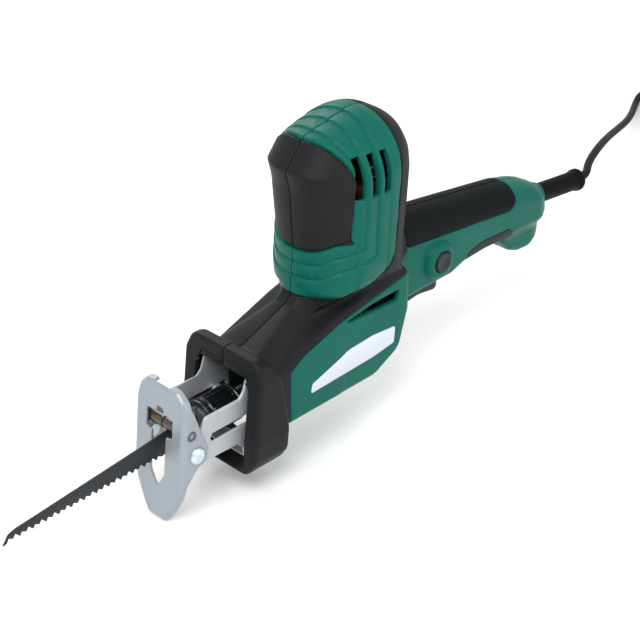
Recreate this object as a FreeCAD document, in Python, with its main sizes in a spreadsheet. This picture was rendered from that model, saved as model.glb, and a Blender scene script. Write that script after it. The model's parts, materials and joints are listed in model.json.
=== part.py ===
import FreeCAD, Part
import math
import os
import re
import Sketcher
from FreeCAD import Placement, Rotation, Vector

# Corded reciprocating saw with an upright motor.
# X is across the tool (+X is its left side), -Y points along the blade, +Z is up.
# The origin is on the resting plane, under the middle of the tool.

DIMENSIONS = {
    # moulded shell
    "wall_thickness": 4.2,
    "skin_thickness": 2.0,
    "body_half_width": 31.0,
    "nose_half_width": 30.0,
    "handle_half_width": 19.0,
    "opening_half_width": 23.5,
    "opening_bottom": 19.5,
    "opening_top": 84.0,
    "tower_axis": 29.0,
    "label_thickness": 0.5,
    "screw_radius": 1.75,
    "screw_boss_radius": 4.5,
    # motor, on the vertical axis of the tower
    "motor_shaft_radius": 4.0,
    "rotor_radius": 19.0,
    "stator_bore": 19.6,
    "stator_radius": 31.0,
    "stack_bottom": 130.0,
    "stack_height": 46.0,
    "winding_radius": 17.0,
    "winding_height": 8.0,
    "commutator_radius": 11.0,
    "commutator_height": 13.0,
    "fan_radius": 27.0,
    "fan_height": 8.0,
    "bearing_radius": 11.0,
    "bearing_width": 7.0,
    # gearing
    "gear_module": 1.0,
    "pinion_teeth": 10,
    "wheel_teeth": 46,
    "gear_width": 8.0,
    "gear_level": 80.0,
    "wheel_shaft_radius": 5.0,
    "crank_radius": 10.0,
    "crank_pin_radius": 3.0,
    "crank_roller_radius": 5.0,
    # plunger and blade clamp
    "plunger_level": 55.0,
    "plunger_radius": 7.0,
    "plunger_length": 87.0,
    "tail_radius": 4.5,
    "tail_length": 23.0,
    "bush_radius": 8.5,
    "bush_length": 8.0,
    "running_gap": 0.05,
    "clamp_radius": 9.0,
    "clamp_length": 19.0,
    "sleeve_radius": 12.5,
    "sleeve_length": 29.0,
    "blade_thickness": 1.25,
    # shoe and its bracket
    "sheet_thickness": 2.0,
    "shoe_half_width": 22.5,
    "shoe_tilt": 6.5,
    "arm_outer": 20.2,
    "arm_thickness": 1.8,
    "rivet_radius": 2.5,
    "rivet_head_radius": 5.75,
    "guide_pin_radius": 4.0,
    # controls
    "trigger_half_width": 7.0,
    "button_radius": 7.25,
    "button_travel": 3.0,
    # cord
    "cord_diameter": 6.3,
    "sleeve_droop": 6.5,
    "coil_radius": 35.0,
    "coil_width": 19.6,
    "coil_height": 19.0,
}

X_AXIS = Vector(1, 0, 0)
Y_AXIS = Vector(0, 1, 0)
Z_AXIS = Vector(0, 0, 1)
FAR = 400.0

doc = FreeCAD.newDocument("reciprocating_saw")
sheet = doc.addObject("Spreadsheet::Sheet", "Dimensions")
for row, (alias, value) in enumerate(DIMENSIONS.items(), 1):
    sheet.set(f"A{row}", alias)
    sheet.set(f"B{row}", str(value))
    sheet.setAlias(f"B{row}", alias)
doc.recompute()

finished = []


def dim(alias):
    """The value of one driving dimension, read back from the sheet."""
    return float(sheet.get(alias))


def bind(obj, prop, text):
    """Bind a property to sheet cells; every word in the text is an alias."""
    obj.setExpression(prop, re.sub(r"[a-z][a-z_]+", lambda word: "Dimensions." + word.group(), text))


def finish(obj, name):
    """Mark an object as a finished sub-part with the given name."""
    obj.Label = name
    finished.append(obj)
    return obj


def turned(axis):
    """The rotation that takes +Z to the given axis."""
    return Rotation(Z_AXIS, axis)


def cylinder(name, radius, height, base, axis=Z_AXIS):
    """A Part::Cylinder whose radius and height are expressions of the sheet."""
    obj = doc.addObject("Part::Cylinder", name)
    bind(obj, "Radius", radius)
    bind(obj, "Height", height)
    obj.Placement = Placement(base, turned(axis))
    return obj


def box(name, size, corner):
    """A Part::Box with its lowest corner at corner; sizes are numbers or expressions."""
    obj = doc.addObject("Part::Box", name)
    for prop, value in zip(("Length", "Width", "Height"), size):
        bind(obj, prop, str(value))
    obj.Placement = Placement(corner, Rotation())
    return obj


def cut(name, base, tool):
    obj = doc.addObject("Part::Cut", name)
    obj.Base = base
    obj.Tool = tool
    return obj


def fuse(name, *shapes):
    obj = doc.addObject("Part::MultiFuse", name)
    obj.Shapes = list(shapes)
    return obj


def ring(name, outer, inner, height, base, axis=Z_AXIS):
    """A hollow cylinder."""
    reach = axis * 1.0
    wall = cylinder(name + "_wall", outer, height, base, axis)
    hole = cylinder(name + "_hole", inner, height + " + 2", base - reach, axis)
    return cut(name, wall, hole)


def group(name, *shapes):
    """Several separate solids that share one name."""
    obj = doc.addObject("Part::Compound", name)
    obj.Links = list(shapes)
    return obj


def feature(name, shape):
    """A Part::Feature for a shape worked out with Part's own functions."""
    obj = doc.addObject("Part::Feature", name)
    obj.Shape = shape
    return obj


def origin_plane(body, role):
    return [plane for plane in body.Origin.OriginFeatures if plane.Role == role][0]


def sketch(body, name, role, outlines):
    """A sketch on one of the body's own origin planes: outlines of points or (centre, radius)."""
    drawing = body.newObject("Sketcher::SketchObject", name)
    drawing.AttachmentSupport = (origin_plane(body, role), [""])
    drawing.MapMode = "FlatFace"
    for outline in outlines:
        if isinstance(outline, tuple):
            (across, along), radius = outline
            drawing.addGeometry(Part.Circle(Vector(across, along, 0), Z_AXIS, radius), False)
            continue
        points = [Vector(across, along, 0) for across, along in outline]
        for start, end in zip(points, points[1:] + points[:1]):
            drawing.addGeometry(Part.LineSegment(start, end), False)
    return drawing


def padded_body(name, role, outlines, length, offset=0.0):
    """A PartDesign::Body with one pad, both ways from its plane; offset moves it along the plane's normal."""
    body = doc.addObject("PartDesign::Body", name)
    pad = body.newObject("PartDesign::Pad", name + "_pad")
    pad.Profile = sketch(body, name + "_outline", role, outlines)
    bind(pad, "Length", length)
    pad.Midplane = True
    normal = {"YZ_Plane": X_AXIS, "XY_Plane": Z_AXIS, "XZ_Plane": Y_AXIS}[role]
    body.Placement = Placement(normal * offset, Rotation())
    return body


def gear_outline(teeth, centre):
    """Straight-flanked tooth outline of a spur gear, wide enough at the root to stay clear in mesh."""
    module = dim("gear_module")
    pitch = module * teeth / 2
    across, along = centre
    points = []
    for tooth in range(teeth):
        middle = 2 * math.pi * tooth / teeth
        for turn, reach in ((-0.36, -1.25), (-0.13, 0.9), (0.13, 0.9), (0.36, -1.25)):
            angle = middle + turn * 2 * math.pi / teeth
            radius = pitch + reach * module
            points.append((across + radius * math.cos(angle), along + radius * math.sin(angle)))
    return points


# ---------------------------------------------------------------- moulded form

# side outlines as (y, z)
BODY_SIDE = [(-52, 40.6), (32.5, 40.6), (58, 52), (66, 80), (66, 112), (30, 108), (-5, 99), (-52, 80)]
NOSE_SIDE = [(-70, 40.6), (4, 40.6), (4, 112), (-14, 112), (-20, 106), (-58, 92), (-70, 92)]
NOSE_FRONT = [(25, 38), (30, 44), (30, 76), (12, 104), (8, 125)]
HANDLE_SIDE = [
    (40, 76), (126, 76), (138, 80), (188, 80), (196, 66), (204, 58), (216, 56), (230, 61),
    (237.5, 75), (238.5, 91), (230, 104), (212, 112), (193, 117.5), (89, 134), (40, 140),
]
COLLAR_SIDE = [(-72, 98), (-64.5, 98), (-50, 44), (-48.5, 15.5), (-81, 15.5)]
COLLAR_FRONT = [(26, 15.5), (33, 27), (35, 40), (35, 84), (31, 93), (26, 97.5), (0, 98)]
SKIN_SIDE = [
    (-66, 30), (-46, 30), (-46, 79), (-33, 86), (-1, 96), (32, 102), (50, 105), (66, 108),
    (75, 113), (75, 240), (-66, 240),
]
HOOD_SIDE = [(-40, 114), (-10, 107), (14, 108), (32, 115), (47, 130), (47, 240), (-40, 240)]
GRIP_SIDE = [(75, 116), (183, 103.5), (189, 109), (187, 118), (191, 145), (75, 150)]
STRIP_SIDE = [(136, 76), (141, 87.5), (152, 90), (184, 89), (188, 84), (184, 78)]
PAD_FRONT = [(0, 143), (30, 148), (34, 152), (34, 176), (28, 194), (15, 208), (0, 214)]
LABEL_SIDE = [(-28, 56.5), (-26.5, 63), (8, 73.5), (30, 74.5), (51, 72.4), (50, 60.4), (30, 58)]
# height, half width and half length of the tower's oval sections
TOWER_SECTIONS = [
    (92, 33, 41.5), (113, 35, 41.5), (140, 36.5, 41.5), (165, 37.5, 42), (190, 38.5, 43),
    (203, 37, 41.5), (213, 31, 36), (220, 22, 27), (224.5, 10, 14),
]
OVAL_POWER = 2.4
OVAL_POINTS = 28


def oval(half_width, half_length, height):
    """A closed superellipse wire about the tower's axis."""
    points = []
    for number in range(OVAL_POINTS):
        angle = 2 * math.pi * number / OVAL_POINTS
        side = math.copysign(abs(math.cos(angle)) ** (2 / OVAL_POWER), math.cos(angle))
        front = math.copysign(abs(math.sin(angle)) ** (2 / OVAL_POWER), math.sin(angle))
        points.append(Vector(half_width * side, dim("tower_axis") + half_length * front, height))
    curve = Part.BSplineCurve()
    curve.interpolate(Points=points, PeriodicFlag=True)
    return Part.Wire(curve.toShape())


def tower(inset):
    """The upright motor tower, shrunk all round by inset."""
    top = TOWER_SECTIONS[-1][0]
    base = TOWER_SECTIONS[0][0]
    wires = []
    for height, half_width, half_length in TOWER_SECTIONS:
        share = (height - base) / (top - base)
        wires.append(oval(half_width - inset, half_length - inset, height - inset * share))
    return Part.makeLoft(wires, True)


def prism_along_x(outline, half_width, inset=0.0, bevel=0.0):
    """A side outline made solid both ways from the middle plane, with bevelled side edges."""
    half = half_width - inset
    points = [Vector(-half, along, height) for along, height in outline]
    face = Part.Face(Part.makePolygon(points + points[:1]))
    if inset:
        face = face.makeOffset2D(-inset, 2)
    solid = face.extrude(Vector(2 * half, 0, 0))
    if bevel:
        rims = [
            edge for edge in solid.Edges
            if all(abs(abs(vertex.Point.x) - half) < 1e-6 for vertex in edge.Vertexes)
            and abs(edge.Vertexes[0].Point.x - edge.Vertexes[1].Point.x) < 1e-6
        ]
        solid = solid.makeChamfer(bevel, rims)
    return solid


def prism_along_y(outline, start, end, inset=0.0):
    """A front outline, given for x >= 0 and mirrored, made solid from y = start to y = end."""
    mirrored = [(-across, height) for across, height in reversed(outline) if across > 0]
    points = [Vector(across, start, height) for across, height in outline + mirrored]
    face = Part.Face(Part.makePolygon(points + points[:1]))
    if inset:
        face = face.makeOffset2D(-inset, 2)
    return face.extrude(Vector(0, end - start, 0))


def form(inset):
    """The tool's moulded form without the collar, shrunk all round by inset."""
    solid = prism_along_x(BODY_SIDE, dim("body_half_width"), inset, 5.0)
    nose = prism_along_x(NOSE_SIDE, dim("nose_half_width"), inset)
    solid = solid.fuse(nose.common(prism_along_y(NOSE_FRONT, -90, 20, inset)))
    solid = solid.fuse(prism_along_x(HANDLE_SIDE, dim("handle_half_width"), inset, 7.0))
    solid = solid.fuse(tower(inset))
    # round boss that the cable sleeve comes out of
    axis = sleeve_axis()
    return solid.fuse(Part.makeCylinder(10 - inset, 25.9 - inset, SLEEVE_BASE - axis * 15, axis))


def half_space(side):
    """Everything on one side of the middle plane."""
    corner = Vector(0 if side > 0 else -FAR, -FAR, -FAR)
    return Part.makeBox(FAR, 2 * FAR, 2 * FAR, corner)


SCREW_PLACES = [(-43, 80), (54, 62), (58, 98), (81, 126), (146, 108), (206, 84)]
TOWER_SLOTS = [10.0, 20.0, 29.5]
BUTTON_PLACE = (106.5, 95.6)
TRIGGER_OPENING = (83.0, 123.0)
SLEEVE_BASE = Vector(0, 233.0, 91.6)


def sleeve_axis():
    droop = math.radians(dim("sleeve_droop"))
    return Vector(0, math.cos(droop), -math.sin(droop))


def openings():
    """Everything cut right through the shell: vents, trigger, button, cable and blade openings."""
    tools = []
    for start in TOWER_SLOTS:
        tools.append(Part.makeBox(2 * FAR, 6, 28, Vector(-FAR, start, 181)))
    vent = [(2, 93), (30, 97.5), (55, 98), (53.5, 91), (28, 91.5)]
    tools.append(prism_along_x(vent, FAR))
    start, end = TRIGGER_OPENING
    half = dim("trigger_half_width") + 0.4
    tools.append(Part.makeBox(2 * half, end - start, 40, Vector(-half, start, 50)))
    hole = Part.makeCylinder(dim("button_radius") + 0.4, 30, Vector(5, *BUTTON_PLACE), X_AXIS)
    tools.append(hole)
    sleeve_hole = Part.makeCylinder(7.7, 40, SLEEVE_BASE - sleeve_axis() * 10, sleeve_axis())
    tools.append(sleeve_hole)
    half = dim("opening_half_width")
    low = dim("opening_bottom")
    high = dim("opening_top")
    tools.append(Part.makeBox(2 * half, 39, high - low, Vector(-half, -90, low)))
    return tools


def make_shells():
    """The two moulded halves, their rubber skins, collars, pads, grips and strips."""
    outer = form(0.0)
    core = form(dim("skin_thickness"))
    cavity = form(dim("wall_thickness"))
    layer = outer.cut(core)
    boss = Part.makeCylinder(13, 24, Vector(0, *BUTTON_PLACE), X_AXIS)
    shell = outer.fuse(boss).cut(cavity)
    for along, height in SCREW_PLACES:
        reach = Part.makeCylinder(dim("screw_boss_radius"), 2 * FAR, Vector(-FAR, along, height), X_AXIS)
        shell = shell.fuse(reach.common(core))
    skin_region = prism_along_x(SKIN_SIDE, FAR).cut(prism_along_x(HOOD_SIDE, FAR))
    pad_region = prism_along_y(PAD_FRONT, -60, 14)
    regions = {
        "nose_skin": skin_region.cut(prism_along_x(GRIP_SIDE, FAR)),
        "tower_pad": pad_region,
        "handle_grip": prism_along_x(GRIP_SIDE, FAR),
        "finger_strip": prism_along_x(STRIP_SIDE, FAR),
    }
    collar = prism_along_y(COLLAR_FRONT, -90, -40).common(prism_along_x(COLLAR_SIDE, FAR))
    collar = collar.cut(form(0.0))
    shell = shell.cut(collar)
    holes = openings()
    for along, height in SCREW_PLACES:
        radius = dim("screw_radius") + 0.05
        holes.append(Part.makeCylinder(radius, 2 * FAR, Vector(-FAR, along, height), X_AXIS))
    skins = {}
    for name, region in regions.items():
        skins[name] = layer.common(region)
    for skin in skins.values():
        shell = shell.cut(skin)
    shell = shell.cut(holes)
    for side, word in ((1, "left"), (-1, "right")):
        half = half_space(side)
        finish(feature("housing_" + word, shell.common(half)), "housing_" + word)
        finish(feature("collar_" + word, collar.cut(holes).common(half)), "collar_" + word)
        for name, skin in skins.items():
            piece = skin.cut(holes).common(half)
            finish(feature(name + "_" + word, piece), name + "_" + word)


def make_labels():
    """Plain tinted plates, one let on to each side of the body."""
    offset = dim("body_half_width") + dim("label_thickness") / 2
    for side, word in ((1, "left"), (-1, "right")):
        body = padded_body("label_" + word, "YZ_Plane", [LABEL_SIDE], "label_thickness", side * offset)
        finish(body, "label_" + word)


def make_screws():
    """Housing screws: plain shanks with pan heads, all driven in from the right side."""
    screws = []
    for number, (along, height) in enumerate(SCREW_PLACES):
        reach = 11.0 if along > 70 else 20.0
        shank = cylinder(f"shank_{number}", "screw_radius", str(2 * reach), Vector(-reach, along, height), X_AXIS)
        screws.append(shank)
    finish(group("housing_screws_set", *screws), "housing_screws")


# ---------------------------------------------------------------- motor

def on_motor(height):
    return Vector(0, dim("tower_axis"), height)


def make_motor():
    stack = dim("stack_bottom")
    top = stack + dim("stack_height")
    finish(cylinder("shaft", "motor_shaft_radius", "124", on_motor(88)), "motor_shaft")
    sits = "motor_shaft_radius"
    finish(ring("rotor", "rotor_radius", sits, "stack_height", on_motor(stack)), "rotor_core")
    low = ring("low_ends", "winding_radius", sits, "winding_height", on_motor(stack - dim("winding_height")))
    high = ring("high_ends", "winding_radius", sits, "winding_height", on_motor(top))
    finish(group("rotor_ends", low, high), "rotor_windings")
    above = top + dim("winding_height")
    finish(ring("bars", "commutator_radius", sits, "commutator_height", on_motor(above)), "commutator")
    finish(ring("stack", "stator_radius", "stator_bore", "stack_height", on_motor(stack)), "stator_core")
    coils = [
        ring(f"coil_{level:.0f}", "stator_radius - 2", "stator_bore + 0.4", "winding_height", on_motor(level))
        for level in (stack - dim("winding_height"), top)
    ]
    finish(group("coils", *coils), "field_coils")
    make_fan()
    make_bearings()
    make_brushes(above)


def make_fan():
    """Cooling fan: a hub, a disc and radial blades."""
    level = 110.0
    blades = 11
    hub = Part.makeCylinder(8, dim("fan_height"), on_motor(level))
    disc = Part.makeCylinder(dim("fan_radius"), 1.6, on_motor(level))
    solid = hub.fuse(disc)
    for number in range(blades):
        blade = Part.makeBox(dim("fan_radius") - 9, 1.2, dim("fan_height") - 1, Vector(8.5, -0.6, 1))
        blade.Placement = Placement(on_motor(level), Rotation(Z_AXIS, 360 * number / blades)).multiply(
            Placement(Vector(-1, 0, 0), Rotation()))
        solid = solid.fuse(blade)
    solid = solid.cut(Part.makeCylinder(dim("motor_shaft_radius"), 20, on_motor(level - 2)))
    finish(feature("fan", solid.removeSplitter()), "cooling_fan")


def make_bearings():
    hole = "motor_shaft_radius + running_gap"
    pair = [
        ring(f"motor_bearing_{level}", "bearing_radius", hole, "bearing_width", on_motor(level))
        for level in (98, 202)
    ]
    finish(group("bearing_pair", *pair), "motor_bearings")
    base = Vector(0, gear_axis(), 95)
    hole = "wheel_shaft_radius + running_gap"
    finish(ring("gear_bearing", "bearing_radius", hole, "bearing_width", base), "gear_bearing")


def make_brushes(level):
    """A carbon brush in a brass box on each side of the commutator."""
    brushes = []
    holders = []
    springs = []
    inner = dim("commutator_radius") + 0.1
    for side in (1, -1):
        name = "left" if side > 0 else "right"
        middle = Vector(side * inner, dim("tower_axis"), level + 6.5)
        turn = Rotation(Z_AXIS, 0 if side > 0 else 180)
        frame = Placement(middle, turn)
        brush = box("brush_" + name, (12, 6, 6), Vector())
        brush.Placement = frame.multiply(Placement(Vector(0, -3, -3), Rotation()))
        brushes.append(brush)
        shell = box("holder_shell_" + name, (14, 8.4, 8.4), Vector())
        shell.Placement = frame.multiply(Placement(Vector(3, -4.2, -4.2), Rotation()))
        hollow = box("holder_hollow_" + name, (16, 6.2, 6.2), Vector())
        hollow.Placement = frame.multiply(Placement(Vector(2, -3.1, -3.1), Rotation()))
        holders.append(cut("holder_" + name, shell, hollow))
        outwards = X_AXIS * side
        start = middle + outwards * 12.1
        springs.append(ring("spring_" + name, "2.6", "2.1", "4.5", start, outwards))
    finish(group("brush_pair", *brushes), "carbon_brushes")
    finish(group("holder_pair", *holders), "brush_holders")
    finish(group("spring_pair", *springs), "brush_springs")


# ---------------------------------------------------------------- gearing

# where along Y the plunger's two bushes begin
FRONT_BUSH = -38.0
REAR_BUSH = 20.0


def gear_axis():
    """Where along Y the driven gear's vertical axis stands."""
    centres = dim("gear_module") * (dim("pinion_teeth") + dim("wheel_teeth")) / 2
    return dim("tower_axis") - centres


def make_gears():
    middle = dim("gear_level") + dim("gear_width") / 2
    pinion_teeth = int(dim("pinion_teeth"))
    wheel_teeth = int(dim("wheel_teeth"))
    outline = gear_outline(pinion_teeth, (0, 0))
    pinion = padded_body("pinion", "XY_Plane", [outline], "gear_width")
    half_tooth = 90 + 180 / pinion_teeth
    pinion.Placement = Placement(on_motor(middle), Rotation(Z_AXIS, half_tooth))
    finish(pinion, "pinion")
    outline = gear_outline(wheel_teeth, (0, 0))
    bore = ((0, 0), dim("wheel_shaft_radius"))
    wheel = padded_body("wheel", "XY_Plane", [outline, bore], "gear_width")
    wheel.Placement = Placement(Vector(0, gear_axis(), middle), Rotation(Z_AXIS, 90))
    finish(wheel, "drive_gear")
    base = Vector(0, gear_axis(), dim("gear_level"))
    finish(cylinder("wheel_shaft", "wheel_shaft_radius", "22", base), "gear_shaft")
    crank = Vector(dim("crank_radius"), gear_axis(), 73.4)
    finish(cylinder("crank", "crank_pin_radius", "gear_level - 73.4", crank), "crank_pin")
    roller = ring("roller", "crank_roller_radius", "crank_pin_radius + running_gap", "5.5", crank + Z_AXIS * 0.6)
    finish(roller, "crank_roller")
    make_gear_case()


def make_gear_case():
    """Die-cast bridge: a bearing plate on two walls that also carry the plunger's bushes."""
    low = 46.0
    boss = Part.makeCylinder(11.8, 9.5, Vector(0, gear_axis(), 93))
    plate = Part.makeBox(25, 20, 9.5, Vector(-12.5, gear_axis(), 93))
    wide_plate = Part.makeBox(42, 32, 12, Vector(-21, 13, 93))
    arm = Part.makeBox(26, 30, 5.5, Vector(-13, -38, 89))
    front = Part.makeBox(26, 8, 45, Vector(-13, FRONT_BUSH, low))
    rear = Part.makeBox(42, 8, 30, Vector(-21, REAR_BUSH, low))
    column = Part.makeBox(24, 9, 41, Vector(-12, 36, 64))
    foot = Part.makeBox(24, 12, 12, Vector(-12, REAR_BUSH + 5, 64))
    solid = plate.fuse([boss, wide_plate, arm, front, rear, column, foot])
    level = dim("plunger_level")
    bush = Part.makeCylinder(dim("bush_radius"), 83, Vector(0, -50, level), Y_AXIS)
    pocket = Part.makeCylinder(dim("bearing_radius"), dim("bearing_width"), Vector(0, gear_axis(), 95))
    lower = Part.makeCylinder(dim("bearing_radius"), dim("bearing_width") + 1, on_motor(98))
    shaft = Part.makeCylinder(dim("motor_shaft_radius") + 1, 40, on_motor(80))
    spindle = Part.makeCylinder(dim("wheel_shaft_radius") + 0.6, 40, Vector(0, gear_axis(), 80))
    for tool in (bush, pocket, lower, shaft, spindle):
        solid = solid.cut(tool)
    finish(feature("gear_case", solid), "gear_case")
    cover = box("cover", (42, 54, 1), Vector(-21, -29.5, 45))
    finish(cover, "gear_case_cover")


# ---------------------------------------------------------------- plunger and blade

PLUNGER_FRONT = -78.0
CLAMP_FRONT = -97.0
BLADE_TIP = -245.0


def make_plunger():
    level = dim("plunger_level")
    start = Vector(0, PLUNGER_FRONT, level)
    rod = cylinder("rod", "plunger_radius", "plunger_length", start, Y_AXIS)
    shoulder = start + Y_AXIS * dim("plunger_length")
    tail = cylinder("tail", "tail_radius", "tail_length", shoulder, Y_AXIS)
    finish(fuse("rod_and_tail", rod, tail), "plunger")
    # the yoke's slot is for the crank roller, which runs just above it
    block = Part.makeBox(38, 17, 13, Vector(-19, gear_axis() - 8.5, 60))
    slot = Part.makeBox(31, 10.2, 20, Vector(-15.5, gear_axis() - 5.1, 64.5))
    seat = Part.makeCylinder(dim("plunger_radius"), 60, Vector(0, gear_axis() - 30, level), Y_AXIS)
    finish(feature("yoke", block.cut(slot).cut(seat)), "scotch_yoke")
    front_hole = "plunger_radius + running_gap"
    rear_hole = "tail_radius + running_gap"
    front = ring("bush_front", "bush_radius", front_hole, "bush_length", Vector(0, FRONT_BUSH, level), Y_AXIS)
    rear = ring("bush_rear", "bush_radius", rear_hole, "bush_length", Vector(0, REAR_BUSH, level), Y_AXIS)
    finish(group("bush_pair", front, rear), "plunger_bushes")
    seal = ring("seal", "bush_radius + 1", "plunger_radius + 0.3", "4", Vector(0, FRONT_BUSH - 4.2, level), Y_AXIS)
    finish(seal, "plunger_seal")


def make_clamp():
    """Quick blade clamp: slotted body, turning sleeve, its spring, and the pin through the blade."""
    level = dim("plunger_level")
    start = Vector(0, CLAMP_FRONT, level)
    body = cylinder("clamp_round", "clamp_radius", "clamp_length", start, Y_AXIS)
    slot = box("clamp_slot", ("blade_thickness + 0.1", 16, 30), Vector())
    slot.Placement = Placement(Vector(-dim("blade_thickness") / 2 - 0.05, CLAMP_FRONT - 1, level - 15), Rotation())
    finish(cut("clamp_cut", body, slot), "blade_clamp")
    sleeve = ring("sleeve", "sleeve_radius", "clamp_radius + 0.1", "sleeve_length - 10",
                  start + Y_AXIS * 1.5, Y_AXIS)
    skirt = ring("skirt", "sleeve_radius", "sleeve_radius - 1.6", "10.5",
                 start + Y_AXIS * (dim("sleeve_length") - 9), Y_AXIS)
    finish(fuse("sleeve_whole", sleeve, skirt), "clamp_sleeve")
    coil = ring("clamp_coil", "sleeve_radius - 2", "plunger_radius + 0.1", "6",
                Vector(0, PLUNGER_FRONT + 1.8, level), Y_AXIS)
    finish(coil, "clamp_spring")


def blade_outline():
    """Side outline of the blade: shank, straight back, hooked tip and a row of teeth."""
    back = 59.3
    tooth_line = 42.9
    points = [(-83, 49.5), (-83, 58), (-104, 58), (-107, back), (-121.5, back), (-236, 48.6)]
    points += [(-241, 46.8), (BLADE_TIP, 41.2), (BLADE_TIP + 2.5, 42.0)]
    pitch = 4.65
    count = 25
    along = BLADE_TIP + 2.5
    for number in range(count):
        deep = 2.6 if number % 2 else 1.7
        points.append((along + pitch * 0.35, tooth_line + deep))
        along += pitch
        points.append((along, tooth_line - (0.5 if number % 2 else 0.0)))
    points += [(-118, tooth_line + 2.6), (-107, 45), (-104, 49.5)]
    return points


def make_blade():
    blade = padded_body("blade", "YZ_Plane", [blade_outline()], "blade_thickness")
    finish(blade, "saw_blade")


# ---------------------------------------------------------------- shoe and bracket

PIVOT = (-116.5, 49.5)
GUIDE_PIN = (-120.4, 65.3)


def tilted(shape):
    """Lean a shape that was drawn upright about the shoe's pivot, bottom edge forwards."""
    turned_shape = shape.copy()
    turned_shape.rotate(Vector(0, *PIVOT), X_AXIS, -dim("shoe_tilt"))
    return turned_shape


def upright(place):
    """Where a (y, z) place on the leaning shoe is when the shoe is drawn upright."""
    angle = math.radians(dim("shoe_tilt"))
    along = place[0] - PIVOT[0]
    height = place[1] - PIVOT[1]
    return (
        PIVOT[0] + along * math.cos(angle) - height * math.sin(angle),
        PIVOT[1] + along * math.sin(angle) + height * math.cos(angle),
    )


def make_shoe():
    """Pressed shoe: a windowed face plate with a flange down each side."""
    half = dim("shoe_half_width")
    gauge = dim("sheet_thickness")
    reach = 12.3
    face = PIVOT[0] - reach
    tilt = math.radians(dim("shoe_tilt"))
    tip = PIVOT[1] - (PIVOT[1] + (reach - gauge) * math.sin(tilt)) / math.cos(tilt)
    front_outline = [
        (8, tip), (14, 8), (20, 20), (half, 32), (half, 78), (20, 87), (14, 92.5), (8, 93.5), (0, 93.5),
    ]
    blank = prism_along_y(front_outline, face - 1, face + 40)
    flange_side = [
        (face, -5), (face + 5.5, 1), (face + 6, 30), (face + 13, 40), (face + 20, 43),
        (face + 21, 52), (face + 16, 62), (face + 7, 82), (face + 5, 100), (face, 100),
    ]
    blank = blank.common(prism_along_x(flange_side, FAR))
    inner = [(across - gauge, height + (gauge if height < 50 else -gauge)) for across, height in front_outline]
    inner = [(max(across, 0), height) for across, height in inner]
    inner[0] = (8 - gauge, tip - 6)
    inner[-2] = (8 - gauge, 104)
    inner[-1] = (0, 104)
    hollow = prism_along_y(inner, face + gauge, face + 60)
    solid = blank.cut(hollow)
    edges = [
        edge for edge in solid.Edges
        if abs(edge.CenterOfMass.y - face) < 1e-6 and abs(abs(edge.CenterOfMass.x) - half) < 1e-6
    ]
    solid = solid.makeFillet(4.0, edges)
    window = [(-0.1, 23), (6.2, 32), (6.2, 59), (11.8, 60), (11.8, 73), (3, 74), (3, 77.6), (0, 77.6)]
    window[0] = (0.01, 23)
    solid = solid.cut(prism_along_y(window, face - 5, face + 9))
    radius = dim("rivet_radius") + dim("running_gap")
    solid = solid.cut(Part.makeCylinder(radius, 2 * FAR, Vector(-FAR, *PIVOT), X_AXIS))
    pin = upright(GUIDE_PIN)
    solid = solid.cut(Part.makeCylinder(dim("guide_pin_radius") - 1, 2 * FAR, Vector(-FAR, *pin), X_AXIS))
    finish(feature("shoe", tilted(solid)), "shoe")
    inside = half - gauge
    guide = Part.makeCylinder(dim("guide_pin_radius"), 2 * inside, Vector(-inside, *pin), X_AXIS)
    neck = Part.makeCylinder(dim("guide_pin_radius") - 1, 2 * half, Vector(-half, *pin), X_AXIS)
    groove = Part.makeCylinder(dim("guide_pin_radius") + 1, 2.4, Vector(-1.2, *pin), X_AXIS)
    groove = groove.cut(Part.makeCylinder(dim("guide_pin_radius") - 0.8, 2.4, Vector(-1.2, *pin), X_AXIS))
    finish(feature("guide", tilted(guide.cut(groove).fuse(neck))), "guide_pin")


def make_bracket():
    """Sliding bracket: two slotted arms joined by a web under the clamp."""
    outer = dim("arm_outer")
    gauge = dim("arm_thickness")
    arm_side = [
        (-124, 46), (-119, 42), (-112.5, 39.5), (-81, 38), (-77, 34), (-75.5, 25.5), (-62, 25.5),
        (-62, 47), (-52, 47), (-52, 72), (-57, 72), (-62, 83), (-72.5, 83.5), (-75.5, 75), (-79, 71.3),
        (-107.5, 71.3), (-112, 62), (-122, 56),
    ]
    slot_side = [(-103.5, 54.3), (-102, 51.6), (-55, 51.6), (-55, 57.3), (-102, 57.3)]
    solid = prism_along_x(arm_side, outer)
    solid = solid.cut(prism_along_x([(-130, 27.3), (-40, 27.3), (-40, 110), (-130, 110)], outer - gauge))
    solid = solid.cut(prism_along_x(slot_side, FAR))
    solid = solid.cut(Part.makeCylinder(dim("rivet_radius"), 2 * FAR, Vector(-FAR, *PIVOT), X_AXIS))
    finish(feature("bracket", solid), "shoe_bracket")
    rivets = []
    screws = []
    for side in (1, -1):
        word = "left" if side > 0 else "right"
        outwards = X_AXIS * side
        inner_end = Vector(side * (outer - gauge - 1.5), *PIVOT)
        shank = cylinder("rivet_shank_" + word, "rivet_radius", "8", inner_end, outwards)
        tail = cylinder("rivet_tail_" + word, "rivet_radius + 1.5", "1.5", inner_end, outwards)
        face = Vector(side * (dim("shoe_half_width") + 0.2), *PIVOT)
        head = cylinder("rivet_head_" + word, "rivet_head_radius", "2", face, outwards)
        rivets.append(fuse("rivet_" + word, shank, tail, head))
        start = Vector(side * (outer - gauge - 4), -64, 54.3)
        stem = cylinder("clamp_stem_" + word, "2", "13", start, outwards)
        nut = cylinder("clamp_nut_" + word, "4.2", "3.7", start, outwards)
        screws.append(fuse("clamp_screw_" + word, stem, nut))
    finish(group("rivets", *rivets), "pivot_rivets")
    finish(group("clamp_screws", *screws), "bracket_screws")


# ---------------------------------------------------------------- controls and wiring

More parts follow.
